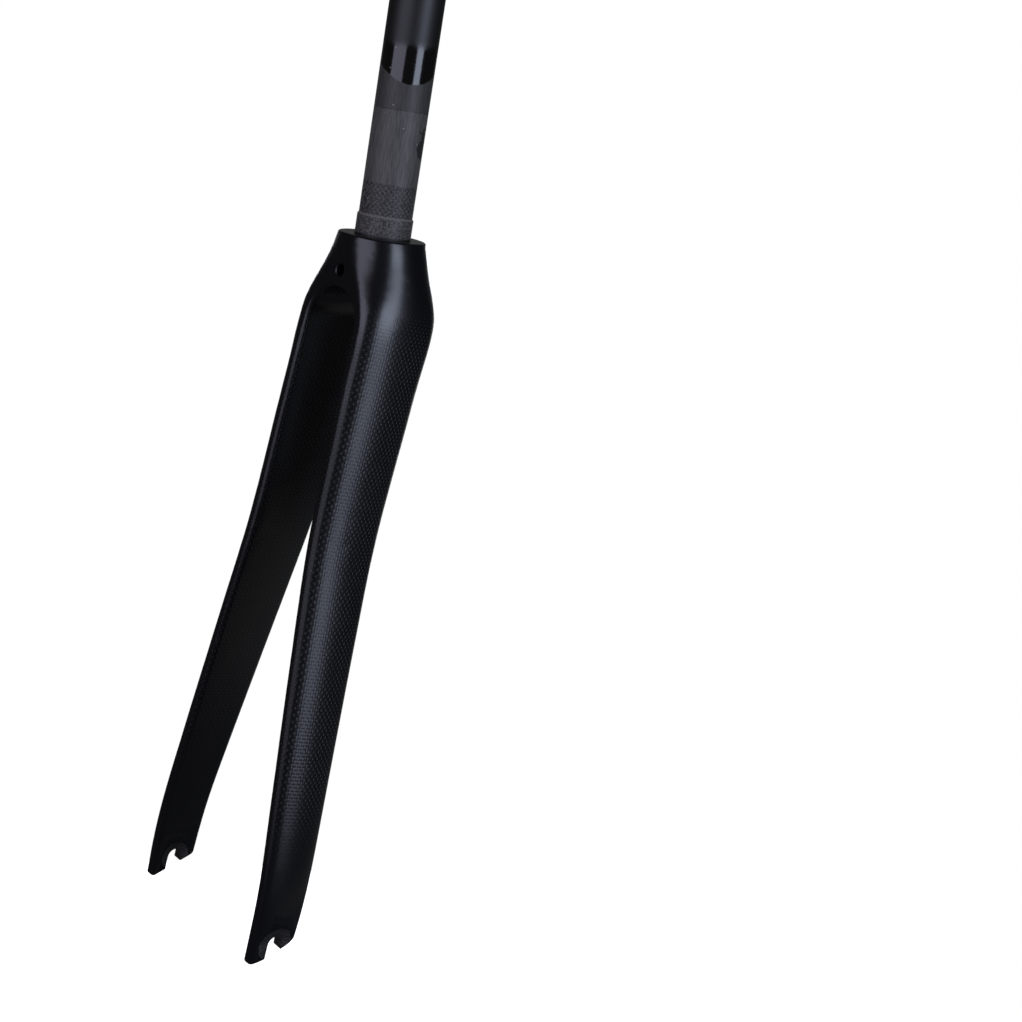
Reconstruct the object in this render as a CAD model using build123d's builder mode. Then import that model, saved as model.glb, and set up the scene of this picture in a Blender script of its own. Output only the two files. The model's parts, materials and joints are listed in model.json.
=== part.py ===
"""Rigid bicycle fork: one moulded carbon piece with a steerer tube, a crown, two blades and slotted tips.

Z runs up the steerer axis. The origin is on that axis, in the crown's top face, where the headset race seats.
The wheel is carried ahead of the axis, towards -Y, and the blades lie on either side of X = 0.
"""

import os
from math import cos, exp, log, radians, sin, tan

from build123d import *

# Driving dimensions, in millimetres and degrees. A drop is a depth below the crown's top face.

# Wheel position
axle_drop = 380.0
rake = 46.3
hub_width = 100.0
axle_slot_width = 9.4

# Steerer tube
steerer_diameter = 28.6
steerer_length = 300.0
steerer_wall = 2.8
steerer_floor_height = 1.5
steerer_end_chamfer = 0.6
race_seat_diameter = 30.0
race_seat_height = 11.0
race_seat_chamfer = 0.5

# Crown
crown_diameter = 46.0
crown_edge_radius = 1.2
crown_flat = 4.0
side_flare = 0.25
front_flare = 0.1
shoulder_drop = 44.8
rear_bulge_drop = 23.8
rear_bulge_reach = 26.6
rear_round_drop = 16.0
brake_hole_drop = 19.4
brake_hole_diameter = 6.2
brake_hole_edge_radius = 0.9
brake_nut_diameter = 8.2
brake_nut_depth = 22.0

# Wheel opening between the blades
arch_drop = 29.0
arch_radius = 20.2
upper_splay_angle = 1.7
knee_drop = 161.5
ankle_rise = 31.0
bend_softness = 8.0

# Blades
blade_top_thickness = 14.7
blade_ankle_thickness = 10.0
tip_end_thickness = 9.0
front_nose_offset = 4.6
rear_nose_offset = 5.2
front_rim_radius = 2.9
rear_rim_radius = 4.0
front_top_reach = 26.7
rear_top_reach = 22.2
front_bow = 1.2
rear_bow = 1.1

# Tips
tip_depth = 28.2
tip_rear_drop = 0.2
tip_front_drop = 11.5
tip_front_radius = 2.6
tip_rear_radius = 4.5
tip_edge_radius = 1.3
slot_lean_angle = 6.0
hub_seat_diameter = 17.6
hub_seat_recess = 0.4
fastener_seat_diameter = 20.8
seat_thickness = 7.2

# Room that a cutting shape leaves outside the surface that it follows or passes
trim_clearance = 0.3
cut_margin = 8.0

# Fineness of the lofted outside
crown_steps = 7
blade_steps = 14
side_arcs = 4
slope_step = 0.5

# Sizes that follow from the driving dimensions
crown_radius = crown_diameter / 2
steerer_radius = steerer_diameter / 2
hub_seat = hub_width / 2
fastener_seat = hub_seat + seat_thickness
tip_inner = hub_seat - hub_seat_recess
arch_centre_drop = arch_drop + arch_radius
splay = radians(upper_splay_angle)
arch_spring_drop = arch_centre_drop - arch_radius * sin(splay)
knee_half_gap = arch_radius / cos(splay) + (knee_drop - arch_centre_drop) * tan(splay)
ankle_drop = axle_drop - ankle_rise
tip_end_drop = axle_drop + tip_front_drop
blank_end_drop = tip_end_drop + cut_margin
front_limit = -rake - tip_depth - cut_margin
rear_limit = rear_bulge_reach + cut_margin
side_limit = hub_width / 2 + blade_ankle_thickness + cut_margin


def bent_line(drop, corners):
    """Value at a drop on straight runs between corners, with a soft bend at each inner corner."""
    slopes = [(end[1] - start[1]) / (end[0] - start[0]) for start, end in zip(corners, corners[1:])]
    value = corners[0][1] + slopes[0] * (drop - corners[0][0])
    for (corner_drop, _), before, after in zip(corners[1:], slopes, slopes[1:]):
        value += (after - before) * bend_softness * log(1 + exp((drop - corner_drop) / bend_softness))
    return value


def bowed_line(drop, top, tip, bow):
    """Value at a drop on a line from the blade's top to the axle, bowed by a set amount at its middle."""
    share = (drop - shoulder_drop) / (axle_drop - shoulder_drop)
    return top + (tip - top) * share + 4 * bow * share * (1 - share)


def eased(drop, start, end):
    """Cubic between two ends, each given as its drop, value and slope."""
    length = end[0] - start[0]
    share = (drop - start[0]) / length
    rise = 3 * share**2 - 2 * share**3
    leave = share**3 - 2 * share**2 + share
    arrive = share**3 - share**2
    return start[1] + (end[1] - start[1]) * rise + length * (start[2] * leave + end[2] * arrive)


def inner_half_gap(drop):
    """Half the wheel opening's width."""
    corners = [
        (arch_centre_drop, arch_radius / cos(splay)),
        (knee_drop, knee_half_gap),
        (ankle_drop, tip_inner),
        (axle_drop, tip_inner),
    ]
    return bent_line(drop, corners)


def blade_thickness(drop):
    corners = [
        (shoulder_drop, blade_top_thickness),
        (ankle_drop, blade_ankle_thickness),
        (tip_end_drop, tip_end_thickness),
    ]
    return bent_line(drop, corners)


def blade_half_width(drop):
    return inner_half_gap(drop) + blade_thickness(drop)


def front_nose(drop):
    """How far out a blade's straight front reaches, before its outer side curves away."""
    return inner_half_gap(drop) + front_nose_offset


def rear_nose(drop):
    return inner_half_gap(drop) + rear_nose_offset


def blade_front(drop):
    return bowed_line(drop, -front_top_reach, -rake - tip_depth / 2, -front_bow)


def blade_rear(drop):
    return bowed_line(drop, rear_top_reach, -rake + tip_depth / 2, -rear_bow)


def slope_at(edge, drop):
    """Slope of an edge function at a drop."""
    return (edge(drop + slope_step) - edge(drop - slope_step)) / (2 * slope_step)


def shoulder_end(edge):
    """Where the crown runs into a blade edge: its drop, value and slope."""
    return (shoulder_drop, edge(shoulder_drop), slope_at(edge, shoulder_drop))


def half_width(drop):
    if drop >= shoulder_drop:
        return blade_half_width(drop)
    return eased(drop, (0, crown_radius, side_flare), shoulder_end(blade_half_width))


def front_edge(drop):
    if drop >= shoulder_drop:
        return blade_front(drop)
    return eased(drop, (0, -crown_radius, -front_flare), shoulder_end(blade_front))


def rear_edge(drop):
    if drop >= shoulder_drop:
        return blade_rear(drop)
    bulge = (rear_bulge_drop, rear_bulge_reach, 0)
    if drop >= rear_bulge_drop:
        return eased(drop, bulge, shoulder_end(blade_rear))
    return eased(drop, (0, crown_radius, 0), bulge)


def flat_half_width(drop, nose, round_drop):
    """Half the straight run across a section's front or rear, which is short down to where the crown is round."""
    if drop >= shoulder_drop:
        return nose(drop)
    if drop <= round_drop:
        return crown_flat / 2
    return eased(drop, (round_drop, crown_flat / 2, 0), shoulder_end(nose))


def middle_line(drop):
    """Where a section is widest, halfway from its front to its rear."""
    return (front_edge(drop) + rear_edge(drop)) / 2


def quarter_ellipse(centre, width, depth, start_angle):
    """Quarter of an ellipse, in a few short arcs."""
    arc_angle = 90 / side_arcs
    for step in range(side_arcs):
        EllipticalCenterArc(centre, width, depth, start_angle + step * arc_angle, arc_size=arc_angle)


def section_lines(drop):
    """Outline of the whole fork at a drop: straight front and rear, with quarter ellipses round each side."""
    half = half_width(drop)
    middle = middle_line(drop)
    front = front_edge(drop)
    rear = rear_edge(drop)
    front_flat = flat_half_width(drop, front_nose, 0)
    rear_flat = flat_half_width(drop, rear_nose, rear_round_drop)
    Line((-front_flat, front), (front_flat, front))
    quarter_ellipse((front_flat, middle), half - front_flat, middle - front, 270)
    quarter_ellipse((rear_flat, middle), half - rear_flat, rear - middle, 0)
    Line((rear_flat, rear), (-rear_flat, rear))
    quarter_ellipse((-rear_flat, middle), half - rear_flat, rear - middle, 90)
    quarter_ellipse((-front_flat, middle), half - front_flat, middle - front, 180)


blade_step = (blank_end_drop - shoulder_drop) / blade_steps
crown_drops = [shoulder_drop * step / crown_steps for step in range(crown_steps)]
blade_drops = [shoulder_drop + blade_step * step for step in range(blade_steps + 1)]

with BuildPart() as fork:
    # Outside of the crown and both blades: one loft, from the crown's round top down past the tips
    for drop in crown_drops + blade_drops:
        with BuildSketch(Plane.XY.offset(-drop)):
            with BuildLine():
                section_lines(drop)
            make_face()
    loft()
    crown_top = fork.faces().sort_by(Axis.Z)[-1]
    fillet(crown_top.edges(), radius=crown_edge_radius)

    # Wheel opening: an arch under the crown, with sides that splay out to the hub
    arch_end = (arch_radius * cos(splay), -arch_spring_drop)
    leg_drops = [drop for drop in blade_drops if drop > arch_centre_drop]
    right_leg = [arch_end] + [(inner_half_gap(drop), -drop) for drop in leg_drops]
    left_leg = [(-x, z) for x, z in right_leg]
    with BuildSketch(Plane.XZ.offset(-rear_limit)):
        with BuildLine():
            CenterArc((0, -arch_centre_drop), arch_radius, upper_splay_angle, 180 - 2 * upper_splay_angle)
            Spline(*right_leg, tangents=((sin(splay), -cos(splay)), (0, -1)))
            Spline(*left_leg, tangents=((-sin(splay), -cos(splay)), (0, -1)))
            Line(right_leg[-1], left_leg[-1])
        make_face()
    extrude(amount=rear_limit - front_limit, mode=Mode.SUBTRACT)
    rims = fork.edges(Select.LAST).filter_by(lambda edge: edge.bounding_box().size.Z > trim_clearance)
    rear_rims = [rim for rim in rims if rim.center().Y > middle_line(-rim.center().Z)]
    front_rims = [rim for rim in rims if rim not in rear_rims]
    fillet(front_rims, radius=front_rim_radius)
    fillet(rear_rims, radius=rear_rim_radius)

    # Ends of the tips: cut on a slope that leaves the front leg longer, with rounded corners
    front_start = (blade_front(ankle_drop) - trim_clearance, -ankle_drop)
    front_corner = (blade_front(tip_end_drop) - trim_clearance, -tip_end_drop)
    rear_corner = (blade_rear(axle_drop) + trim_clearance, -axle_drop - tip_rear_drop)
    rear_start = (blade_rear(ankle_drop) + trim_clearance, -ankle_drop)
    with BuildSketch(Plane.YZ.offset(-side_limit)):
        with BuildLine():
            FilletPolyline(
                front_start,
                front_corner,
                rear_corner,
                rear_start,
                radius=(tip_front_radius, tip_rear_radius),
            )
            Polyline(
                rear_start,
                (rear_limit, -ankle_drop),
                (rear_limit, -blank_end_drop - cut_margin),
                (front_limit, -blank_end_drop - cut_margin),
                (front_limit, -ankle_drop),
                front_start,
            )
        make_face()
    extrude(amount=2 * side_limit, mode=Mode.SUBTRACT)
    end_edges = fork.edges(Select.LAST)
    end_edges = end_edges.filter_by(lambda edge: edge.bounding_box().size.X < tip_end_thickness / 2)
    fillet(end_edges, radius=tip_edge_radius)

    # Axle slots, open at the lower end
    with BuildSketch(Plane.YZ.offset(-side_limit)):
        with Locations((-rake, -axle_drop)):
            Circle(axle_slot_width / 2)
            Rectangle(
                axle_slot_width,
                tip_front_drop + cut_margin,
                rotation=-slot_lean_angle,
                align=(Align.CENTER, Align.MAX),
            )
    extrude(amount=2 * side_limit, mode=Mode.SUBTRACT)

    # Flat seats round the axle: the hub's between the tips, and the fastener's outside each tip
    with BuildSketch(Plane.YZ.offset(-hub_seat)):
        with Locations((-rake, -axle_drop)):
            Circle(hub_seat_diameter / 2)
    extrude(amount=hub_width, mode=Mode.SUBTRACT)
    for seat_start in (-side_limit, fastener_seat):
        with BuildSketch(Plane.YZ.offset(seat_start)):
            with Locations((-rake, -axle_drop)):
                Circle(fastener_seat_diameter / 2)
        extrude(amount=side_limit - fastener_seat, mode=Mode.SUBTRACT)

    # Brake hole through the crown, with a wider bore at the rear for the recessed nut
    with Locations(Plane((0, rear_edge(brake_hole_drop), -brake_hole_drop), z_dir=(0, 1, 0))):
        CounterBoreHole(brake_hole_diameter / 2, brake_nut_diameter / 2, brake_nut_depth)
    hole_edges = fork.edges(Select.LAST).sort_by(Axis.Y)
    fillet(hole_edges[0], radius=brake_hole_edge_radius)

    # Steerer tube, with the headset race's seat at its foot
    with BuildSketch():
        Circle(race_seat_diameter / 2)
    extrude(amount=race_seat_height)
    chamfer(fork.edges(Select.LAST).sort_by(Axis.Z)[-1], length=race_seat_chamfer)
    with BuildSketch():
        Circle(steerer_radius)
    extrude(amount=steerer_length)
    with BuildSketch(Plane.XY.offset(steerer_floor_height)):
        Circle(steerer_radius - steerer_wall)
    extrude(amount=steerer_length - steerer_floor_height, mode=Mode.SUBTRACT)
    steerer_end = fork.faces().sort_by(Axis.Z)[-1]
    chamfer(steerer_end.edges(), length=steerer_end_chamfer)

os.makedirs("parts", exist_ok=True)
fork.part.label = "fork"
export_step(fork.part, "parts/fork.step")
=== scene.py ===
"""Looks of a rigid carbon road fork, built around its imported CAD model."""

import json
import math

import bmesh
import bpy
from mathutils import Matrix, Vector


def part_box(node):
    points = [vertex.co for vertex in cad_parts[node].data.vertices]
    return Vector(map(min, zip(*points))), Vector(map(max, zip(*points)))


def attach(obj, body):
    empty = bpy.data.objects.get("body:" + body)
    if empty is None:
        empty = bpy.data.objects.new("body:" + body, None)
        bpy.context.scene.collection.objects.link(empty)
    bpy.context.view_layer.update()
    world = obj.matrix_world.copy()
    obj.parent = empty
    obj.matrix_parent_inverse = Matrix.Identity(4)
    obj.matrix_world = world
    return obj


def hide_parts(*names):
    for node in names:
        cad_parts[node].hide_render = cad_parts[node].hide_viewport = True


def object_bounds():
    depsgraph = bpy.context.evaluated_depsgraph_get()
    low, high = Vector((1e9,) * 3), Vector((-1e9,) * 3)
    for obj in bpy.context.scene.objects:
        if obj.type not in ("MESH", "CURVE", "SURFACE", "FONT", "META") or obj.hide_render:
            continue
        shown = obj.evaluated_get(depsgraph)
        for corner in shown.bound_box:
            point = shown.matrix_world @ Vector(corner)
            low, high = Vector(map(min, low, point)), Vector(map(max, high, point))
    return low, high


bl_info = {
    "name": "Carbon road fork",
    "version": (1, 0, 0),
    "blender": (4, 5, 0),
    "location": "3D View > Sidebar > Fork",
    "description": "Finishes a one-piece carbon fork and sets up its studio",
    "category": "Object",
}

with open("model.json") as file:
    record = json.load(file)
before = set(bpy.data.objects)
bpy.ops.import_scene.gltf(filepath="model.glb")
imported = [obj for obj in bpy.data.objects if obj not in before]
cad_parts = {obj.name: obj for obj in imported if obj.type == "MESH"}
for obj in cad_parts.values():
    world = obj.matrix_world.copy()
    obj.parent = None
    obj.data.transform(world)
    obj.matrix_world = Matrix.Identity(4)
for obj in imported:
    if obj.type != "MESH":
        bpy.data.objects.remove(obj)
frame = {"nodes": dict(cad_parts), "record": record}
cad_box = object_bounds()
mounts = {mount["name"]: mount for mount in frame["record"]["mounts"]}


def mount_size(mount_name, size_name):
    """A size of one of the record's mounts, in metres."""
    return mounts[mount_name]["dims"][size_name] / 1000


steerer_radius = mount_size("steerer", "r_mm")
bore_radius = mount_size("steerer_bore", "r_mm")
steerer_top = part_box("fork")[1].z
end_chamfer = 0.0006
bore_floor = steerer_top - end_chamfer - mount_size("steerer_bore", "length_mm")
seat_radius = mount_size("crown_race_seat", "r_mm")
seat_chamfer = 0.0005
seat_height = mount_size("crown_race_seat", "length_mm") + seat_chamfer


# Settings a user would change


class ShellSettings(bpy.types.PropertyGroup):
    """Sizes and colours of the lacquered crown and blades."""

    lacquer_colour: bpy.props.FloatVectorProperty(
        name="Lacquer Colour",
        description="Colour of the satin black lacquer",
        subtype="COLOR",
        size=3,
        min=0.0,
        max=1.0,
        default=(0.0030, 0.0031, 0.0041),
    )
    # Painted sheen: this lighter colour goes on the crests of the over tows, for the light the fibres
    # catch as well as for the weave's own tone.
    tow_and_sheen_colour: bpy.props.FloatVectorProperty(
        name="Tow Colour",
        description="Colour of the carbon tows that show through the lacquer",
        subtype="COLOR",
        size=3,
        min=0.0,
        max=1.0,
        default=(0.0430, 0.0430, 0.0475),
    )
    axle_seat_colour: bpy.props.FloatVectorProperty(
        name="Axle Seat Colour",
        description="Colour of the bare carbon round the axle slots",
        subtype="COLOR",
        size=3,
        min=0.0,
        max=1.0,
        default=(0.042, 0.041, 0.044),
    )
    tow_width: bpy.props.FloatProperty(
        name="Tow Width",
        description="Width of one carbon tow of the weave",
        subtype="DISTANCE",
        unit="LENGTH",
        default=0.0015,
    )
    weave_stretch: bpy.props.FloatProperty(
        name="Weave Stretch",
        description="How much the woven cloth is stretched along the blades",
        subtype="FACTOR",
        default=1.27,
        min=0.5,
        max=2.0,
    )
    weave_top: bpy.props.FloatProperty(
        name="Weave Top",
        description="Height at which the weave starts to show under the crown",
        subtype="DISTANCE",
        unit="LENGTH",
        default=-0.025,
    )
    weave_foot: bpy.props.FloatProperty(
        name="Weave Foot",
        description="Height at which the weave has faded out above the tips",
        subtype="DISTANCE",
        unit="LENGTH",
        default=-0.338,
    )


class SteererSettings(bpy.types.PropertyGroup):
    """Sizes and colours of the bare steerer tube."""

    sides: bpy.props.IntProperty(
        name="Sides",
        description="Number of faces round the tube",
        default=160,
        min=24,
        max=256,
    )
    carbon_colour: bpy.props.FloatVectorProperty(
        name="Carbon Colour",
        description="Colour of the bare upper part of the tube",
        subtype="COLOR",
        size=3,
        min=0.0,
        max=1.0,
        default=(0.029, 0.027, 0.027),
    )
    sanded_colour: bpy.props.FloatVectorProperty(
        name="Sanded Colour",
        description="Colour of the band that was sanded to size",
        subtype="COLOR",
        size=3,
        min=0.0,
        max=1.0,
        default=(0.051, 0.048, 0.048),
    )
    seat_colour: bpy.props.FloatVectorProperty(
        name="Seat Colour",
        description="Colour of the machined crown race seat",
        subtype="COLOR",
        size=3,
        min=0.0,
        max=1.0,
        default=(0.041, 0.038, 0.038),
    )
    sanded_top: bpy.props.FloatProperty(
        name="Sanded Top",
        description="Height of the line at the top of the sanded band",
        subtype="DISTANCE",
        unit="LENGTH",
        default=0.066,
    )
    gloss_foot: bpy.props.FloatProperty(
        name="Gloss Foot",
        description="Height at which the glossy band starts",
        subtype="DISTANCE",
        unit="LENGTH",
        default=0.080,
    )


class StudioSettings(bpy.types.PropertyGroup):
    """The camera, the lamps and the floor."""

    camera_place: bpy.props.FloatVectorProperty(
        name="Camera Place",
        description="Where the camera stands",
        subtype="TRANSLATION",
        unit="LENGTH",
        size=3,
        default=(0.67481, -0.52564, 0.08388),
    )
    camera_turn: bpy.props.FloatVectorProperty(
        name="Camera Turn",
        description="How the camera is turned",
        subtype="EULER",
        size=3,
        default=(math.radians(75.748), math.radians(-9.639), math.radians(48.402)),
    )
    focal_length: bpy.props.FloatProperty(
        name="Focal Length",
        description="Focal length of the lens in millimetres",
        unit="CAMERA",
        default=56.11,
    )
    lens_shift: bpy.props.FloatVectorProperty(
        name="Lens Shift",
        description="Sideways and upward shift of the lens, as a share of the picture",
        size=2,
        default=(0.0, -0.0127),
    )
    left_width: bpy.props.FloatProperty(
        name="Left Width",
        description="Width of the left soft box",
        subtype="DISTANCE",
        unit="LENGTH",
        default=1.3,
    )
    right_width: bpy.props.FloatProperty(
        name="Right Width",
        description="Width of the right soft box",
        subtype="DISTANCE",
        unit="LENGTH",
        default=0.62,
    )
    rear_width: bpy.props.FloatProperty(
        name="Rear Width",
        description="Width of the soft box behind the fork",
        subtype="DISTANCE",
        unit="LENGTH",
        default=0.6,
    )
    upper_height: bpy.props.FloatProperty(
        name="Upper Height",
        description="Height of the soft boxes above the level of the crown",
        subtype="DISTANCE",
        unit="LENGTH",
        default=0.75,
    )
    lower_height: bpy.props.FloatProperty(
        name="Lower Height",
        description="Height of the dimmer soft boxes below the level of the crown",
        subtype="DISTANCE",
        unit="LENGTH",
        default=0.5,
    )
    left_power: bpy.props.FloatProperty(
        name="Left Power",
        description="Power of the upper left soft box in watts",
        unit="POWER",
        default=7.7,
    )
    right_power: bpy.props.FloatProperty(
        name="Right Power",
        description="Power of the upper right soft box in watts",
        unit="POWER",
        default=8.6,
    )
    lower_left_power: bpy.props.FloatProperty(
        name="Lower Left Power",
        description="Power of the lower left soft box in watts",
        unit="POWER",
        default=1.35,
    )
    lower_right_power: bpy.props.FloatProperty(
        name="Lower Right Power",
        description="Power of the lower right soft box in watts",
        unit="POWER",
        default=2.4,
    )
    rear_power: bpy.props.FloatProperty(
        name="Rear Power",
        description="Power of the soft box behind the fork in watts",
        unit="POWER",
        default=5.0,
    )
    floor_radius: bpy.props.FloatProperty(
        name="Floor Radius",
        description="Radius of the round studio floor",
        subtype="DISTANCE",
        unit="LENGTH",
        default=0.5,
    )
    floor_drop: bpy.props.FloatProperty(
        name="Floor Drop",
        description="How far the fork hangs above the floor",
        subtype="DISTANCE",
        unit="LENGTH",
        default=0.25,
    )


# Helpers for node trees


def add_node(tree, kind, **settings):
    """A new node of a tree with its settings made."""
    node = tree.nodes.new(kind)
    for name, value in settings.items():
        setattr(node, name, value)
    return node


def feed(tree, source, target):
    """Links an output to an input, or sets the input where the source is a plain value."""
    if isinstance(source, bpy.types.NodeSocket):
        tree.links.new(source, target)
    else:
        target.default_value = source


def calculate(tree, operation, *values):
    """The output of a Math node over sockets or numbers."""
    node = add_node(tree, "ShaderNodeMath", operation=operation)
    for place, value in enumerate(values):
        feed(tree, value, node.inputs[place])
    return node.outputs[0]


def ramp_between(tree, value, start, end, low=0.0, high=1.0):
    """A value that goes smoothly from low to high as the input goes from start to end."""
    node = add_node(tree, "ShaderNodeMapRange", interpolation_type="SMOOTHSTEP")
    feed(tree, value, node.inputs["Value"])
    feed(tree, start, node.inputs["From Min"])
    feed(tree, end, node.inputs["From Max"])
    feed(tree, low, node.inputs["To Min"])
    feed(tree, high, node.inputs["To Max"])
    return node.outputs["Result"]


def rises_at(tree, value, place, softness):
    """A mask that turns on across a soft edge at a place."""
    return ramp_between(tree, value, place - softness, place + softness)


def fades_at(tree, value, place, softness):
    """A mask that turns off across a soft edge at a place."""
    return ramp_between(tree, value, place + softness, place - softness)


def blend_values(tree, share, first, second):
    """Two values blended smoothly by a share."""
    return ramp_between(tree, share, 0.0, 1.0, first, second)


def mix_colours(tree, share, first, second):
    """Two colours mixed by a share."""
    node = add_node(tree, "ShaderNodeMix", data_type="RGBA")
    colour_inputs = [socket for socket in node.inputs if socket.type == "RGBA"]
    colour_outputs = [socket for socket in node.outputs if socket.type == "RGBA"]
    feed(tree, share, node.inputs["Factor"])
    feed(tree, first, colour_inputs[0])
    feed(tree, second, colour_inputs[1])
    return colour_outputs[0]


def noise(tree, vector, scale, detail=3.0):
    """Plain noise of a scale given in waves to the metre."""
    node = add_node(tree, "ShaderNodeTexNoise")
    feed(tree, vector, node.inputs["Vector"])
    node.inputs["Scale"].default_value = scale
    node.inputs["Detail"].default_value = detail
    return node.outputs["Fac"]


def separate(tree, vector):
    """The outputs of a vector's three parts."""
    node = add_node(tree, "ShaderNodeSeparateXYZ")
    feed(tree, vector, node.inputs[0])
    return node.outputs


def stretched(tree, vector, scale):
    """A vector stretched along its axes, for marks that run one way."""
    node = add_node(tree, "ShaderNodeMapping")
    node.inputs["Scale"].default_value = scale
    feed(tree, vector, node.inputs["Vector"])
    return node.outputs["Vector"]


def opaque(colour):
    """A colour setting as the four numbers that a colour socket takes."""
    return (*colour, 1.0)


def shade(colour, factor):
    """A darker or lighter shade of a colour, as a colour socket takes it."""
    return opaque([part * factor for part in colour])


def mix_shades(tree, share, colour, dark, light):
    """A colour that goes from a darker to a lighter shade of itself."""
    return mix_colours(tree, share, shade(colour, dark), shade(colour, light))


def new_material(name):
    """An empty node material with its surface shader and its object coordinates."""
    material = bpy.data.materials.new(name)
    material.use_nodes = True
    tree = material.node_tree
    shader = tree.nodes["Principled BSDF"]
    place = add_node(tree, "ShaderNodeTexCoord").outputs["Object"]
    return material, tree, shader, place


# The carbon weave that the lacquer and the bare tube share


def carbon_weave_group():
    """A plain weave of flat tows, given the way across and along the surface."""
    name = "carbon_weave"
    if name in bpy.data.node_groups:
        return bpy.data.node_groups[name]
    tree = bpy.data.node_groups.new(name, "ShaderNodeTree")
    for socket_name in ("Across", "Along", "Tow Width"):
        tree.interface.new_socket(socket_name, in_out="INPUT", socket_type="NodeSocketFloat")
    for socket_name in ("Height", "Over"):
        tree.interface.new_socket(socket_name, in_out="OUTPUT", socket_type="NodeSocketFloat")
    given = add_node(tree, "NodeGroupInput").outputs
    result = add_node(tree, "NodeGroupOutput").inputs
    height_at_ends = 0.5
    rise = 1.0 - height_at_ends
    column = calculate(tree, "DIVIDE", given["Across"], given["Tow Width"])
    row = calculate(tree, "DIVIDE", given["Along"], given["Tow Width"])
    cell = calculate(
        tree, "ADD", calculate(tree, "FLOOR", column), calculate(tree, "FLOOR", row)
    )
    over = calculate(tree, "FLOORED_MODULO", cell, 2.0)
    round_across = calculate(
        tree, "ABSOLUTE", calculate(tree, "SINE", calculate(tree, "MULTIPLY", column, math.pi))
    )
    round_along = calculate(
        tree, "ABSOLUTE", calculate(tree, "SINE", calculate(tree, "MULTIPLY", row, math.pi))
    )
    lengthwise = calculate(
        tree,
        "MULTIPLY",
        round_across,
        calculate(tree, "MULTIPLY_ADD", round_along, rise, height_at_ends),
    )
    crosswise = calculate(
        tree,
        "MULTIPLY",
        round_along,
        calculate(tree, "MULTIPLY_ADD", round_across, rise, height_at_ends),
    )
    height = blend_values(tree, over, crosswise, lengthwise)
    feed(tree, height, result["Height"])
    feed(tree, over, result["Over"])
    return tree


def add_weave(tree, across, along, tow_width):
    """The carbon weave's height and its mask of lengthwise tows."""
    node = add_node(tree, "ShaderNodeGroup", node_tree=carbon_weave_group())
    feed(tree, across, node.inputs["Across"])
    feed(tree, along, node.inputs["Along"])
    node.inputs["Tow Width"].default_value = tow_width
    return node.outputs["Height"], node.outputs["Over"]


def add_bump(tree, shader, height, distance):
    """Raises the surface by a height map, given the real height of its peaks."""
    bump = add_node(tree, "ShaderNodeBump")
    bump.inputs["Distance"].default_value = distance
    feed(tree, height, bump.inputs["Height"])
    feed(tree, bump.outputs["Normal"], shader.inputs["Normal"])


# Finishes


def weave_shown(tree, level, settings):
    """How far the weave and the painted sheen on its tow crests show: below the crown, above the
    tips, and as the shape's own share says.
    """
    crown_fade = 0.04
    tip_fade = 0.06
    below_crown = ramp_between(tree, level, settings.weave_top, settings.weave_top - crown_fade)
    above_tips = ramp_between(tree, level, settings.weave_foot, settings.weave_foot + tip_fade)
    # The share by facing thins out the weave and its painted sheen on the front and inner faces.
    share = add_node(tree, "ShaderNodeAttribute", attribute_name="weave_and_sheen_by_facing").outputs["Fac"]
    return calculate(tree, "MULTIPLY", calculate(tree, "MULTIPLY", below_crown, above_tips), share)


def satin_lacquer(settings):
    """Satin black lacquer, with the weave and a painted sheen on its tow crests showing faintly along
    the blades.
    """
    cloud_scale = 90.0
    cloud_limits = (0.3, 0.6)
    faintest = 0.6
    crest_limits = (0.6, 0.95)
    grain_scale = 2400.0
    grain_detail = 2.0
    grain_limits = (0.25, 0.75)
    lacquer_roughness = (0.23, 0.28)
    tow_roughness = 0.05
    grain_height = 0.015
    peak_height = 0.00005
    material, tree, shader, place = new_material("satin_lacquer")
    shown = weave_shown(tree, separate(tree, place)["Z"], settings)
    weave_map = separate(tree, add_node(tree, "ShaderNodeUVMap", uv_map="weave").outputs["UV"])
    weave_height, over = add_weave(tree, weave_map["X"], weave_map["Y"], settings.tow_width)

    # Painted sheen: the crests of the over tows take the lighter tow colour, for the light they
    # catch, on top of the weave's own tone.
    crest = calculate(tree, "MULTIPLY", over, ramp_between(tree, weave_height, *crest_limits))
    cloud = ramp_between(tree, noise(tree, place, cloud_scale), *cloud_limits, faintest, 1.0)
    patchy = calculate(tree, "MULTIPLY", shown, cloud)
    tow_and_sheen_share = calculate(tree, "MULTIPLY", crest, patchy)
    colour = mix_colours(
        tree, tow_and_sheen_share, opaque(settings.lacquer_colour), opaque(settings.tow_and_sheen_colour)
    )
    feed(tree, colour, shader.inputs["Base Color"])

    grain = noise(tree, place, grain_scale, grain_detail)
    roughness = ramp_between(tree, grain, *grain_limits, *lacquer_roughness)
    roughness = calculate(tree, "MULTIPLY_ADD", tow_and_sheen_share, tow_roughness, roughness)
    feed(tree, roughness, shader.inputs["Roughness"])

    relief = calculate(tree, "MULTIPLY", weave_height, shown)
    relief = calculate(tree, "MULTIPLY_ADD", grain, grain_height, relief)
    add_bump(tree, shader, relief, peak_height)
    return material


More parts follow.
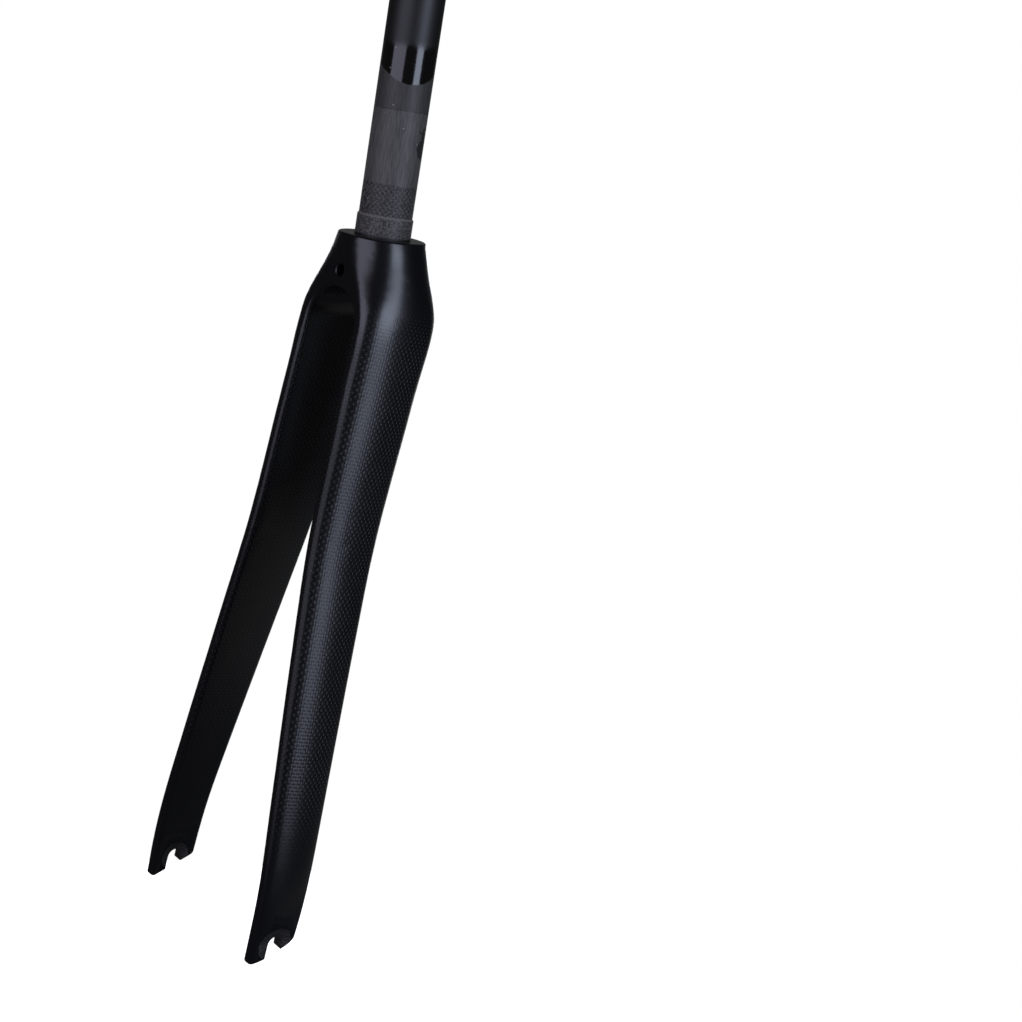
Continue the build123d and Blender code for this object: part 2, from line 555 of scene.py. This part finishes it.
def bare_axle_seat(settings):
    """Machined bare carbon of the axle seats, with short sanding marks."""
    mark_stretch = (1.0, 0.25, 1.0)
    mark_scale = 1800.0
    mark_limits = (0.3, 0.7)
    seat_roughness = (0.42, 0.6)
    peak_height = 0.00003
    material, tree, shader, place = new_material("bare_axle_seat")
    marks = noise(tree, stretched(tree, place, mark_stretch), mark_scale)
    colour = mix_colours(
        tree,
        ramp_between(tree, marks, *mark_limits),
        opaque(settings.lacquer_colour),
        opaque(settings.axle_seat_colour),
    )
    feed(tree, colour, shader.inputs["Base Color"])
    feed(tree, ramp_between(tree, marks, *mark_limits, *seat_roughness), shader.inputs["Roughness"])
    add_bump(tree, shader, marks, peak_height)
    return material


def ragged_dark_patch(tree, place, turn, level):
    """A ragged darker patch on one side of the tube, in the sanded band."""
    patch_turn = math.radians(38.0)
    patch_level = 0.051
    rise_weight = 55.0
    ragged_scale = 260.0
    patch_edge = 0.91
    edge_softness = 0.05
    aside = calculate(tree, "POWER", calculate(tree, "SUBTRACT", turn, patch_turn), 2.0)
    rise = calculate(tree, "MULTIPLY", calculate(tree, "SUBTRACT", level, patch_level), rise_weight)
    distance = calculate(tree, "SQRT", calculate(tree, "MULTIPLY_ADD", rise, rise, aside))
    reach = calculate(tree, "ADD", distance, noise(tree, place, ragged_scale))
    return fades_at(tree, reach, patch_edge, edge_softness)


def light_specks(tree, place):
    """A few light specks of dust in the resin."""
    speck_scale = 130.0
    speck_size = 0.05
    speck_softness = 0.015
    cells = add_node(tree, "ShaderNodeTexVoronoi", feature="F1")
    cells.inputs["Scale"].default_value = speck_scale
    feed(tree, place, cells.inputs["Vector"])
    return fades_at(tree, cells.outputs["Distance"], speck_size, speck_softness)


def seat_highlight_and_shadow(tree, level):
    """A painted highlight along the top edge of the race seat, and a painted shadow in the crease at
    its foot where it meets the crown.
    """
    step_foot = seat_height - 0.00055
    step_foot_softness = 0.00015
    step_top = seat_height + 0.0004
    step_top_softness = 0.0002
    foot_shadow_top = 0.0010
    foot_shadow_softness = 0.0004
    step_highlight = calculate(
        tree,
        "MULTIPLY",
        rises_at(tree, level, step_foot, step_foot_softness),
        fades_at(tree, level, step_top, step_top_softness),
    )
    return step_highlight, fades_at(tree, level, foot_shadow_top, foot_shadow_softness)


def sanded_edge_line(tree, ragged, mottle, sanded_top):
    """A broken dark line along the top of the sanded band."""
    line_half = 0.0003
    line_softness = 0.0001
    broken_limits = (0.40, 0.60)
    distance = calculate(tree, "ABSOLUTE", calculate(tree, "SUBTRACT", ragged, sanded_top))
    line = fades_at(tree, distance, line_half, line_softness)
    return calculate(tree, "MULTIPLY", line, ramp_between(tree, mottle, *broken_limits))


def glossy_band(tree, ragged, turn, gloss_foot):
    """Three masks of the upper tube: above the arched foot, past the gloss and in the dull top."""
    lowest_turn = math.radians(-28.0)
    arch_height = 0.009
    foot_softness = 0.0003
    gloss_fade = (gloss_foot + 0.0145, gloss_foot + 0.0225)
    dull_fade = (gloss_foot + 0.0485, gloss_foot + 0.1585)
    from_lowest = calculate(tree, "COSINE", calculate(tree, "SUBTRACT", turn, lowest_turn))
    arch = calculate(tree, "SUBTRACT", 1.0, from_lowest)
    arched = calculate(tree, "MULTIPLY_ADD", arch, -arch_height, ragged)
    above_foot = rises_at(tree, arched, gloss_foot, foot_softness)
    past_gloss = ramp_between(tree, ragged, *gloss_fade)
    in_dull_top = ramp_between(tree, ragged, *dull_fade)
    return above_foot, past_gloss, in_dull_top


def ragged_level(tree, place, level):
    """The level along the tube, made to wander a little so that the bands have ragged edges."""
    raggedness = 0.003
    wander_scale = 70.0
    noise_middle = 0.5
    wander = calculate(tree, "SUBTRACT", noise(tree, place, wander_scale), noise_middle)
    return calculate(tree, "MULTIPLY_ADD", wander, raggedness, level)


def steerer_roughness(tree, place, above_foot, past_gloss, in_dull_top):
    """Rough bare carbon, smooth in the glossy band and rough again in the dull top."""
    fine_scale = 2600.0
    fine_detail = 2.0
    fine_limits = (0.3, 0.7)
    bare_roughness = (0.5, 0.62)
    gloss_roughness = 0.13
    faded_roughness = 0.48
    dull_roughness = 0.5
    fine = noise(tree, place, fine_scale, fine_detail)
    bare = ramp_between(tree, fine, *fine_limits, *bare_roughness)
    upper = blend_values(tree, past_gloss, gloss_roughness, faded_roughness)
    upper = blend_values(tree, in_dull_top, upper, dull_roughness)
    return blend_values(tree, above_foot, bare, upper)


def steerer_relief(tree, weave_height, in_weave, mottle, above_foot):
    """The height of the weave and the mottling, nearly flat from the glossy band up."""
    mottle_height = 0.25
    smoothing = 0.8
    relief = calculate(tree, "MULTIPLY", weave_height, in_weave)
    relief = calculate(tree, "MULTIPLY_ADD", mottle, mottle_height, relief)
    kept = calculate(tree, "MULTIPLY_ADD", above_foot, -smoothing, 1.0)
    return calculate(tree, "MULTIPLY", relief, kept)


def bare_steerer_carbon(settings, tow_width):
    """Bare carbon of the steerer: seat, woven foot, sanded band, glossy band and dull top, with a
    painted highlight along the seat's top edge and a painted shadow at its foot.
    """
    fibre_stretch = (1.0, 1.0, 0.08)
    fibre_scale = 1500.0
    fibre_limits = (0.3, 0.7)
    mottle_scale = 1300.0
    mottle_detail = 5.0
    peak_height = 0.00012
    material, tree, shader, place = new_material("bare_steerer_carbon")
    parts = separate(tree, place)
    level = parts["Z"]
    turn = calculate(tree, "ARCTAN2", parts["Y"], parts["X"])
    across = calculate(tree, "MULTIPLY", turn, steerer_radius)
    ragged = ragged_level(tree, place, level)
    fibre = noise(tree, stretched(tree, place, fibre_stretch), fibre_scale)
    fibre_share = ramp_between(tree, fibre, *fibre_limits)
    mottle = noise(tree, place, mottle_scale, mottle_detail)
    tow_pairs = round(steerer_radius * math.pi / tow_width)
    fitted_width = steerer_radius * math.pi / tow_pairs
    weave_height, over = add_weave(tree, across, level, fitted_width)

    # Masks of the bands
    seat_softness = 0.0002
    woven_top = 0.028
    woven_softness = 0.0005
    sanded_softness = 0.0003
    on_tube = rises_at(tree, level, seat_height, seat_softness)
    # Masks of the painted highlight along the seat's top edge and the painted shadow at its foot.
    step_highlight, foot_shadow = seat_highlight_and_shadow(tree, level)
    in_sanded = rises_at(tree, ragged, woven_top, woven_softness)
    darker_patch_mask = ragged_dark_patch(tree, place, turn, level)
    above_sanded = rises_at(tree, ragged, settings.sanded_top, sanded_softness)
    sanded_edge = sanded_edge_line(tree, ragged, mottle, settings.sanded_top)
    above_foot, past_gloss, in_dull_top = glossy_band(tree, ragged, turn, settings.gloss_foot)
    in_weave = calculate(tree, "SUBTRACT", on_tube, in_sanded)

    # Tones of the bands, as shades of the three colours, with a painted highlight along the seat's
    # top edge and a painted shadow at its foot
    seat = settings.seat_colour
    sanded = settings.sanded_colour
    carbon = settings.carbon_colour
    seat_limits = (0.36, 0.68)
    seat_shades = (0.15, 2.1)
    # Shades of the painted highlight along the seat's top edge and the painted shadow at its foot.
    step_highlight_shade = 2.6
    foot_shadow_shade = 0.15
    over_lift = 0.12
    woven_limits = (0.42, 0.76)
    woven_shades = (0.15, 1.3)
    sanded_shades = (0.7, 1.28)
    # How dark the ragged patch in the sanded band is.
    patch_darkness = 0.25
    edge_shade = 0.2
    upper_shades = (0.75, 1.25)
    gloss_shades = (0.12, 0.6)
    speck_colour = (0.16, 0.16, 0.17)
    seat_share = ramp_between(tree, mottle, *seat_limits)
    woven = calculate(tree, "MULTIPLY_ADD", over, over_lift, mottle)
    woven_share = ramp_between(tree, woven, *woven_limits)
    seat_tone = mix_shades(tree, seat_share, seat, *seat_shades)
    woven_tone = mix_shades(tree, woven_share, sanded, *woven_shades)
    sanded_tone = mix_shades(tree, fibre_share, sanded, *sanded_shades)
    upper_tone = mix_shades(tree, fibre_share, carbon, *upper_shades)
    gloss_tone = mix_shades(tree, in_dull_top, carbon, *gloss_shades)
    tone = mix_colours(tree, on_tube, seat_tone, woven_tone)
    # Painted highlight along the seat's top edge, then painted shadow in the crease at its foot.
    tone = mix_colours(tree, step_highlight, tone, shade(seat, step_highlight_shade))
    tone = mix_colours(tree, foot_shadow, tone, shade(seat, foot_shadow_shade))
    tone = mix_colours(tree, in_sanded, tone, sanded_tone)
    # A ragged darker patch on one side of the sanded band.
    tone = mix_colours(tree, darker_patch_mask, tone, shade(sanded, patch_darkness))
    tone = mix_colours(tree, above_sanded, tone, upper_tone)
    tone = mix_colours(tree, sanded_edge, tone, shade(sanded, edge_shade))
    tone = mix_colours(tree, above_foot, tone, gloss_tone)
    tone = mix_colours(tree, light_specks(tree, place), tone, opaque(speck_colour))
    feed(tree, tone, shader.inputs["Base Color"])

    roughness = steerer_roughness(tree, place, above_foot, past_gloss, in_dull_top)
    feed(tree, roughness, shader.inputs["Roughness"])
    relief = steerer_relief(tree, weave_height, in_weave, mottle, above_foot)
    add_bump(tree, shader, relief, peak_height)
    return material


# The steerer's tube, turned from its wall


def steerer_profile():
    """The wall of the steerer as an outline from the axis round to the axis again.

    Its first axis runs out from the bore's wall and its second axis runs down.
    """
    points = [
        (0.0, bore_floor),
        (bore_radius, bore_floor),
        (bore_radius, steerer_top - end_chamfer),
        (bore_radius + end_chamfer, steerer_top),
        (steerer_radius - end_chamfer, steerer_top),
        (steerer_radius, steerer_top - end_chamfer),
        (steerer_radius, seat_height),
        (seat_radius - seat_chamfer, seat_height),
        (seat_radius, seat_height - seat_chamfer),
        (seat_radius, 0.0),
        (0.0, 0.0),
    ]
    mesh = bpy.data.meshes.new("steerer_profile")
    edges = [(place, place + 1) for place in range(len(points) - 1)]
    places = [(radius - bore_radius, -height, 0.0) for radius, height in points]
    mesh.from_pydata(places, edges, [])
    return mesh


def turning_tree():
    """A node tree that turns an outline round the upright axis into a closed solid."""
    merge_distance = 0.00002
    tree = bpy.data.node_groups.new("turn_outline", "GeometryNodeTree")
    tree.is_modifier = True
    tree.interface.new_socket("Outline", in_out="INPUT", socket_type="NodeSocketGeometry")
    tree.interface.new_socket("Path Radius", in_out="INPUT", socket_type="NodeSocketFloat")
    tree.interface.new_socket("Sides", in_out="INPUT", socket_type="NodeSocketInt")
    tree.interface.new_socket("Material", in_out="INPUT", socket_type="NodeSocketMaterial")
    tree.interface.new_socket("Solid", in_out="OUTPUT", socket_type="NodeSocketGeometry")
    given = add_node(tree, "NodeGroupInput").outputs
    result = add_node(tree, "NodeGroupOutput").inputs
    outline = add_node(tree, "GeometryNodeMeshToCurve")
    feed(tree, given["Outline"], outline.inputs["Mesh"])
    path = add_node(tree, "GeometryNodeCurvePrimitiveCircle", mode="RADIUS")
    feed(tree, given["Path Radius"], path.inputs["Radius"])
    feed(tree, given["Sides"], path.inputs["Resolution"])
    turned = add_node(tree, "GeometryNodeCurveToMesh")
    feed(tree, path.outputs["Curve"], turned.inputs["Curve"])
    feed(tree, outline.outputs["Curve"], turned.inputs["Profile Curve"])
    merged = add_node(tree, "GeometryNodeMergeByDistance")
    merged.inputs["Distance"].default_value = merge_distance
    feed(tree, turned.outputs["Mesh"], merged.inputs["Geometry"])
    real = add_node(tree, "GeometryNodeRealizeInstances")
    feed(tree, merged.outputs["Geometry"], real.inputs["Geometry"])
    finished = add_node(tree, "GeometryNodeSetMaterial")
    feed(tree, real.outputs["Geometry"], finished.inputs["Geometry"])
    feed(tree, given["Material"], finished.inputs["Material"])
    feed(tree, finished.outputs["Geometry"], result["Solid"])
    return tree


def input_key(tree, name):
    """The identifier of a tree's named input."""
    for item in tree.interface.items_tree:
        if item.item_type == "SOCKET" and item.in_out == "INPUT" and item.name == name:
            return item.identifier
    raise KeyError(name)


def smooth_shaded(mesh, sharp_angle):
    """Shades a mesh smooth, apart from edges sharper than an angle."""
    mesh.shade_smooth()
    mesh.set_sharp_from_angle(angle=sharp_angle)


def link_piece(name, mesh):
    """A piece of the object at the origin, riding on the fork's one body."""
    piece = bpy.data.objects.new(name, mesh)
    bpy.context.scene.collection.objects.link(piece)
    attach(piece, "root")
    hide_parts("fork")
    return piece


class FORK_OT_steerer(bpy.types.Operator):
    """Turn the steerer tube and its race seat"""

    bl_idname = "fork.steerer"
    bl_label = "Build Steerer"

    def execute(self, context):
        settings = context.scene.fork_steerer
        weave = context.scene.fork_shell
        sharp_angle = math.radians(35.0)
        material = bare_steerer_carbon(settings, weave.tow_width)
        tree = turning_tree()
        blank = bpy.data.objects.new("steerer_blank", steerer_profile())
        context.scene.collection.objects.link(blank)
        turning = blank.modifiers.new("turning", "NODES")
        turning.node_group = tree
        turning[input_key(tree, "Path Radius")] = bore_radius
        turning[input_key(tree, "Sides")] = settings.sides
        turning[input_key(tree, "Material")] = material
        graph = context.evaluated_depsgraph_get()
        mesh = bpy.data.meshes.new_from_object(blank.evaluated_get(graph), depsgraph=graph)
        bpy.data.objects.remove(blank)
        mesh.name = "steerer_tube"
        if len(mesh.polygons) < settings.sides:
            raise RuntimeError("the steerer's outline was not turned into a solid")
        solid = bmesh.new()
        solid.from_mesh(mesh)
        bmesh.ops.recalc_face_normals(solid, faces=solid.faces)
        solid.to_mesh(mesh)
        solid.free()
        smooth_shaded(mesh, sharp_angle)
        link_piece("steerer_tube", mesh)
        return {"FINISHED"}


# The crown and the blades, from the CAD solid


def is_steerer_face(face):
    """True for a face of the CAD solid that belongs to the steerer tube."""
    margin = 0.00002
    return all(
        vert.co.z > -margin and math.hypot(vert.co.x, vert.co.y) < seat_radius + margin
        for vert in face.verts
    )


def is_axle_seat(face):
    """True for a face that lies in one of the flat axle seats, outside or inside a tip."""
    margin = 0.00001
    tip_thickness = 0.0072
    outer_seat = mount_size("axle_slots", "length_mm") / 2
    return any(
        all(abs(abs(vert.co.x) - seat) < margin for vert in face.verts)
        for seat in (outer_seat - tip_thickness, outer_seat)
    )


def weave_place(normal, point):
    """Where a point lies across and along the cloth, which follows the lean of the blades."""
    side_lean = math.radians(7.5)
    front_lean = math.radians(5.0)
    if abs(normal.x) > abs(normal.y):
        aside = point.y
        lean = side_lean
    else:
        aside = -abs(point.x)
        lean = front_lean
    across = aside * math.cos(lean) - point.z * math.sin(lean)
    along = aside * math.sin(lean) + point.z * math.cos(lean)
    return across, along


def share_between(value, start, end):
    """How far a value has gone from start to end, from 0 to 1."""
    return min(max((value - start) / (end - start), 0.0), 1.0)


def weave_and_sheen_by_facing(normal, point):
    """How clearly the weave and the painted sheen on its tow crests show: in full on the outer sides,
    faintly in front and inside.
    """
    inward_limits = (0.0, 0.3)
    forward_limits = (0.3, 0.8)
    most_hidden = 0.7
    inward = -normal.x * math.copysign(1.0, point.x)
    inside = share_between(inward, *inward_limits)
    in_front = share_between(-normal.y, *forward_limits)
    return 1.0 - most_hidden * max(inside, in_front)


def is_slot_wall(face):
    """True for a face of the walls of the axle slots, which lean forward as they go down."""
    margin = 0.00005
    slot_lean = math.radians(6.0)
    reach = mount_size("axle_slots", "r_mm") + margin
    _, axle_y, axle_z = mounts["axle_slots"]["pos_m"]
    for vert in face.verts:
        forward = axle_y - vert.co.y
        down = axle_z - vert.co.z
        along = forward * math.sin(slot_lean) + down * math.cos(slot_lean)
        aside = forward * math.cos(slot_lean) - down * math.sin(slot_lean)
        distance = abs(aside) if along > 0.0 else math.hypot(forward, down)
        if distance > reach:
            return False
    return True


class FORK_OT_shell(bpy.types.Operator):
    """Finish the crown and the two blades"""

    bl_idname = "fork.shell"
    bl_label = "Build Crown and Blades"

    def execute(self, context):
        settings = context.scene.fork_shell
        merge_distance = 0.000001
        sharp_angle = math.radians(32.0)
        solid = bmesh.new()
        solid.from_mesh(frame["nodes"]["fork"].data)
        bmesh.ops.remove_doubles(solid, verts=solid.verts, dist=merge_distance)
        tube_faces = [face for face in solid.faces if is_steerer_face(face)]
        bmesh.ops.delete(solid, geom=tube_faces, context="FACES")
        rim = [edge for edge in solid.edges if edge.is_boundary]
        if not rim:
            raise RuntimeError("the steerer was not found in the CAD solid")
        bmesh.ops.holes_fill(solid, edges=rim)
        weave_map = solid.loops.layers.uv.new("weave")
        share_layer = solid.verts.layers.float.new("weave_and_sheen_by_facing")
        solid.normal_update()
        for vert in solid.verts:
            vert[share_layer] = weave_and_sheen_by_facing(vert.normal, vert.co)
        for face in solid.faces:
            face.material_index = int(is_axle_seat(face) or is_slot_wall(face))
            for loop in face.loops:
                across, along = weave_place(face.normal, loop.vert.co)
                loop[weave_map].uv = (across, along / settings.weave_stretch)
        mesh = bpy.data.meshes.new("crown_and_blades")
        solid.to_mesh(mesh)
        solid.free()
        mesh.materials.append(satin_lacquer(settings))
        mesh.materials.append(bare_axle_seat(settings))
        smooth_shaded(mesh, sharp_angle)
        link_piece("crown_and_blades", mesh)
        return {"FINISHED"}


# The studio

white = (1.0, 1.0, 1.0)


def seen_directly(tree, rays):
    """A mask of what the camera sees, by itself or through glass."""
    return calculate(tree, "MAXIMUM", rays["Is Camera Ray"], rays["Is Transmission Ray"])


def pale_floor_material(floor_radius):
    """A pale floor that shows as white to the camera, but for the shadow in its middle."""
    glow_limits = (floor_radius * 0.15, floor_radius * 0.6)
    middle_glow = 0.62
    rim_glow = 1.0
    unseen_tone = (0.08, 0.08, 0.08)
    seen_tone = (0.8, 0.8, 0.8)
    material, tree, shader, place = new_material("pale_floor")
    shader.inputs["Roughness"].default_value = 0.9
    shader.inputs["Specular IOR Level"].default_value = 0.0
    distance = add_node(tree, "ShaderNodeVectorMath", operation="LENGTH")
    feed(tree, place, distance.inputs[0])
    glow = ramp_between(tree, distance.outputs["Value"], *glow_limits, middle_glow, rim_glow)
    seen = seen_directly(tree, add_node(tree, "ShaderNodeLightPath").outputs)
    tone = mix_colours(tree, seen, opaque(unseen_tone), opaque(seen_tone))
    feed(tree, tone, shader.inputs["Base Color"])
    shader.inputs["Emission Color"].default_value = opaque(white)
    feed(tree, calculate(tree, "MULTIPLY", glow, seen), shader.inputs["Emission Strength"])
    return material


def facing_share(tree, way, target):
    """How nearly a direction points at a target: 1 straight at it, 0 square to it."""
    node = add_node(tree, "ShaderNodeVectorMath", operation="DOT_PRODUCT")
    feed(tree, way, node.inputs[0])
    node.inputs[1].default_value = target
    return node.outputs["Value"]


def studio_world(towards_backdrop, towards_wall):
    """A white backdrop behind the fork and a pale wall at its side, in a dim room."""
    backdrop_limits = (0.75, 0.95)
    backdrop_top = (0.0, -0.12)
    above_backdrop_glow = 0.12
    backdrop_glow = 1.0
    wall_limits = (0.45, 0.85)
    wall_top = (-0.28, -0.50)
    wall_foot = (-0.66, -0.78)
    wall_glow = 0.18
    round_wall_glow = 0.02
    room_glow = 0.03
    diffuse_glow = 0.35
    world = bpy.data.worlds.new("studio")
    world.use_nodes = True
    tree = world.node_tree
    background = tree.nodes["Background"]
    rays = add_node(tree, "ShaderNodeLightPath").outputs
    way = add_node(tree, "ShaderNodeTexCoord").outputs["Generated"]
    rise = separate(tree, way)["Z"]
    facing_wall = facing_share(tree, way, towards_wall)
    facing_backdrop = facing_share(tree, way, towards_backdrop)
    backdrop = ramp_between(tree, rise, *backdrop_top, above_backdrop_glow, backdrop_glow)
    wall = ramp_between(tree, rise, *wall_top, round_wall_glow, wall_glow)
    wall = ramp_between(tree, rise, *wall_foot, wall, round_wall_glow)
    room = ramp_between(tree, facing_wall, *wall_limits, room_glow, wall)
    room = ramp_between(tree, facing_backdrop, *backdrop_limits, room, backdrop)
    reflected = calculate(tree, "MULTIPLY", room, rays["Is Glossy Ray"])
    scattered = calculate(tree, "MULTIPLY", rays["Is Diffuse Ray"], diffuse_glow)
    strength = calculate(tree, "MAXIMUM", seen_directly(tree, rays), reflected)
    strength = calculate(tree, "MAXIMUM", strength, scattered)
    background.inputs["Color"].default_value = opaque(white)
    feed(tree, strength, background.inputs["Strength"])
    return world


def level_direction(bearing):
    """The level direction at a bearing in degrees from the fork's front."""
    angle = math.radians(bearing)
    return math.sin(angle), -math.cos(angle), 0.0


def soft_box(name, bearing, place, size, power, colour):
    """A soft box that faces the fork, at a bearing in degrees from the fork's front.

    The place gives its distance and its level, the size its width and its height.
    """
    lamp = bpy.data.lights.new(name, "AREA")
    lamp.shape = "RECTANGLE"
    lamp.size, lamp.size_y = size
    lamp.energy = power
    lamp.color = colour
    holder = bpy.data.objects.new(name, lamp)
    distance, level = place
    sideways, forward, _ = level_direction(bearing)
    holder.location = (distance * sideways, distance * forward, level)
    holder.rotation_euler = (math.radians(90.0), 0.0, math.radians(bearing))
    bpy.context.scene.collection.objects.link(holder)


def add_lamps(settings, camera_bearing):
    """Soft boxes at both sides of the camera, and a low one behind the fork."""
    lamp_distance = 1.3
    left_turn = -42.5
    right_turn = 45.0
    rear_turn = 180.0
    left_colour = (0.78, 0.77, 1.0)
    right_colour = (0.71, 0.79, 1.0)
    left = (left_turn, settings.left_width, left_colour)
    right = (right_turn, settings.right_width, right_colour)
    rear = (rear_turn, settings.rear_width, right_colour)
    upper = (0.0, settings.upper_height)
    lower = (-settings.lower_height, 0.0)
    below_crown = (-0.65, -0.10)
    lamps = (
        ("upper_left", left, upper, settings.left_power),
        ("lower_left", left, lower, settings.lower_left_power),
        ("upper_right", right, upper, settings.right_power),
        ("lower_right", right, lower, settings.lower_right_power),
        ("lower_rear", rear, below_crown, settings.rear_power),
    )
    for name, (turn, width, colour), (foot, top), power in lamps:
        place = (lamp_distance, (foot + top) / 2)
        size = (width, top - foot)
        soft_box(f"{name}_soft_box", camera_bearing + turn, place, size, power, colour)


def add_floor(scene, settings):
    """The round floor, below the hanging fork."""
    floor_sides = 96
    disc = bmesh.new()
    bmesh.ops.create_circle(
        disc, cap_ends=True, segments=floor_sides, radius=settings.floor_radius
    )
    mesh = bpy.data.meshes.new("studio_floor")
    disc.to_mesh(mesh)
    disc.free()
    mesh.materials.append(pale_floor_material(settings.floor_radius))
    floor = bpy.data.objects.new("studio_floor", mesh)
    floor.location = (0.0, 0.0, cad_box[0].z - settings.floor_drop)
    scene.collection.objects.link(floor)


def add_camera(scene, settings):
    """The camera at the photograph's viewing angle."""
    lens = bpy.data.cameras.new("studio_camera")
    lens.sensor_width = 36.0
    lens.lens = settings.focal_length
    lens.shift_x, lens.shift_y = settings.lens_shift
    lens.clip_start = 0.01
    camera = bpy.data.objects.new("studio_camera", lens)
    camera.location = settings.camera_place
    camera.rotation_euler = settings.camera_turn
    scene.collection.objects.link(camera)
    scene.camera = camera


class FORK_OT_studio(bpy.types.Operator):
    """Set up the floor, the lamps, the backdrop and the camera"""

    bl_idname = "fork.studio"
    bl_label = "Set Up Studio"

    def execute(self, context):
        settings = context.scene.fork_studio
        scene = context.scene
        backdrop_turn = 180.0
        wall_turn = 100.0
        scene.view_settings.view_transform = "Standard"
        add_floor(scene, settings)
        camera_x, camera_y, _ = settings.camera_place
        camera_bearing = math.degrees(math.atan2(camera_x, -camera_y))
        add_lamps(settings, camera_bearing)
        scene.world = studio_world(
            level_direction(camera_bearing + backdrop_turn),
            level_direction(camera_bearing + wall_turn),
        )
        add_camera(scene, settings)
        return {"FINISHED"}


class FORK_PT_panel(bpy.types.Panel):
    """The fork's pieces and its studio"""

    bl_label = "Carbon Fork"
    bl_idname = "FORK_PT_panel"
    bl_space_type = "VIEW_3D"
    bl_region_type = "UI"
    bl_category = "Fork"

    def draw(self, context):
        layout = self.layout
        groups = (
            (context.scene.fork_shell, FORK_OT_shell),
            (context.scene.fork_steerer, FORK_OT_steerer),
            (context.scene.fork_studio, FORK_OT_studio),
        )
        for settings, operator in groups:
            box = layout.box()
            for name in settings.__annotations__:
                box.prop(settings, name)
            box.operator(operator.bl_idname)


classes = (
    ShellSettings,
    SteererSettings,
    StudioSettings,
    FORK_OT_shell,
    FORK_OT_steerer,
    FORK_OT_studio,
    FORK_PT_panel,
)


def register():
    """Makes the settings, the operators and the panel known to Blender."""
    for made in classes:
        bpy.utils.register_class(made)
    bpy.types.Scene.fork_shell = bpy.props.PointerProperty(type=ShellSettings)
    bpy.types.Scene.fork_steerer = bpy.props.PointerProperty(type=SteererSettings)
    bpy.types.Scene.fork_studio = bpy.props.PointerProperty(type=StudioSettings)


def unregister():
    """Takes the settings, the operators and the panel away again."""
    del bpy.types.Scene.fork_studio
    del bpy.types.Scene.fork_steerer
    del bpy.types.Scene.fork_shell
    for made in reversed(classes):
        bpy.utils.unregister_class(made)


def main():
    register()
    bpy.ops.fork.shell()
    bpy.ops.fork.steerer()
    bpy.ops.fork.studio()


if __name__ == "__main__":
    main()
